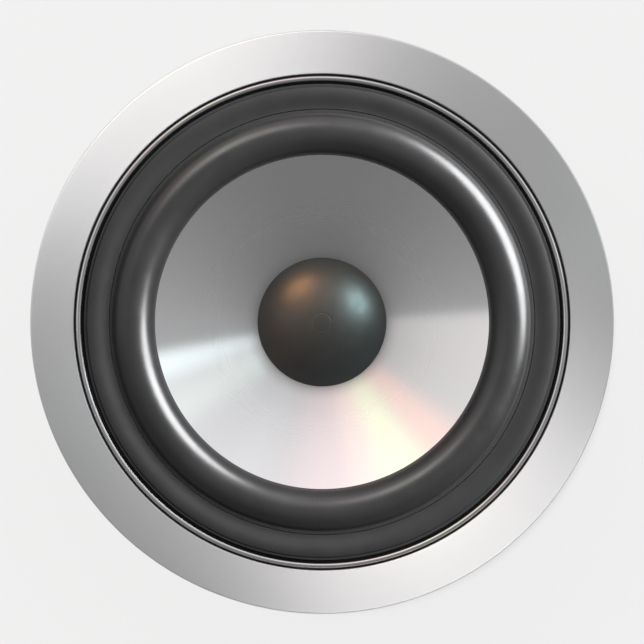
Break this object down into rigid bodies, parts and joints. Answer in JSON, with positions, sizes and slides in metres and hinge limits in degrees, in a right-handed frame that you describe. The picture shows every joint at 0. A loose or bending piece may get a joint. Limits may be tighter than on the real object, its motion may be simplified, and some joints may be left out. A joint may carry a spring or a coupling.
{
  "type": "car subwoofer speaker",
  "caption": "Round car subwoofer speaker with a brushed trim ring, rubber roll surround, spun metal cone, black dust cap, cast frame, magnet motor and push terminals.",
  "frame": {"origin": "centre of the mounting bolt circle, on the plane where the rear of the flange seats on the baffle", "axes": "+Z along the speaker's axis, out of the front of the cone; +X through the right-hand terminal block"},
  "size_m": [0.32, 0.32, 0.1415],
  "materials": {
    "cast_frame": "black powder-coated casting",
    "brushed_trim": "spun satin",
    "polished_bead": "polished",
    "spring_steel": "bright",
    "gasket_rubber": "moulded matte",
    "surround_rubber": "moulded satin",
    "spun_cone": "satin spun",
    "dust_cap_satin": "satin black",
    "former": "anodised",
    "copper_winding": "enamelled copper wire",
    "spider_cloth": "resin-treated weave",
    "landing_plastic": "moulded",
    "plated_steel": "black zinc",
    "ferrite": "ground ferrite",
    "copper_ring": "turned copper",
    "boot_rubber": "moulded matte",
    "mesh_steel": "black",
    "bolt_steel": "black oxide",
    "terminal_plastic": "moulded",
    "contact_brass": "tinned brass",
    "button_red": "moulded",
    "button_black": "moulded",
    "tinsel_braid": "braided copper"
  },
  "bodies": {
    "frame": {"back_plate": "plated_steel", "basket": "cast_frame", "bead_ring": "polished_bead", "front_gasket": "gasket_rubber", "front_magnet": "ferrite", "left_terminal_contacts": "contact_brass", "left_terminal_housing": "terminal_plastic", "magnet_boot": "boot_rubber", "motor_bolts": "bolt_steel", "pole_piece": "plated_steel", "rear_magnet": "ferrite", "right_terminal_contacts": "contact_brass", "right_terminal_housing": "terminal_plastic", "shorting_ring": "copper_ring", "spider_landing_ring": "landing_plastic", "terminal_screws": "bolt_steel", "top_plate": "plated_steel", "vent_mesh": "mesh_steel"},
    "diaphragm": {"surround": "surround_rubber", "cone": "spun_cone", "dust_cap": "dust_cap_satin", "voice_coil_former": "former", "inner_winding": "copper_winding", "outer_winding": "copper_winding", "spider": "spider_cloth", "left_red_tinsel_lead": "tinsel_braid", "left_black_tinsel_lead": "tinsel_braid", "right_red_tinsel_lead": "tinsel_braid", "right_black_tinsel_lead": "tinsel_braid"},
    "trim": {"trim_ring": "brushed_trim", "trim_clips": "spring_steel"},
    "left_red_push": {"left_red_button": "button_red", "left_red_button_spring": "spring_steel"},
    "left_black_push": {"left_black_button": "button_black", "left_black_button_spring": "spring_steel"},
    "right_red_push": {"right_red_button": "button_red", "right_red_button_spring": "spring_steel"},
    "right_black_push": {"right_black_button": "button_black", "right_black_button_spring": "spring_steel"}
  },
  "joints": [
    {"name": "cone_travel", "type": "slide", "parent": "frame", "child": "diaphragm", "axis": [0, 0, 1], "range_m": [-0.012, 0.012], "stiffness_N_per_m": 4500, "springref_m": 0.0006, "deforming": ["surround", "spider", "left_red_tinsel_lead", "left_black_tinsel_lead", "right_red_tinsel_lead", "right_black_tinsel_lead"]},
    {"name": "trim_ring_lift", "type": "slide", "parent": "frame", "child": "trim", "axis": [0, 0, 1], "range_m": [0, 0.025]},
    {"name": "left_red_press", "type": "slide", "parent": "frame", "child": "left_red_push", "axis": [0, 0, -1], "range_m": [0, 0.003], "stiffness_N_per_m": 1500, "springref_m": -0.001, "deforming": ["left_red_button_spring"]},
    {"name": "left_black_press", "type": "slide", "parent": "frame", "child": "left_black_push", "axis": [0, 0, -1], "range_m": [0, 0.003], "stiffness_N_per_m": 1500, "springref_m": -0.001, "deforming": ["left_black_button_spring"]},
    {"name": "right_red_press", "type": "slide", "parent": "frame", "child": "right_red_push", "axis": [0, 0, -1], "range_m": [0, 0.003], "stiffness_N_per_m": 1500, "springref_m": -0.001, "deforming": ["right_red_button_spring"]},
    {"name": "right_black_press", "type": "slide", "parent": "frame", "child": "right_black_push", "axis": [0, 0, -1], "range_m": [0, 0.003], "stiffness_N_per_m": 1500, "springref_m": -0.001, "deforming": ["right_black_button_spring"]}
  ]
}
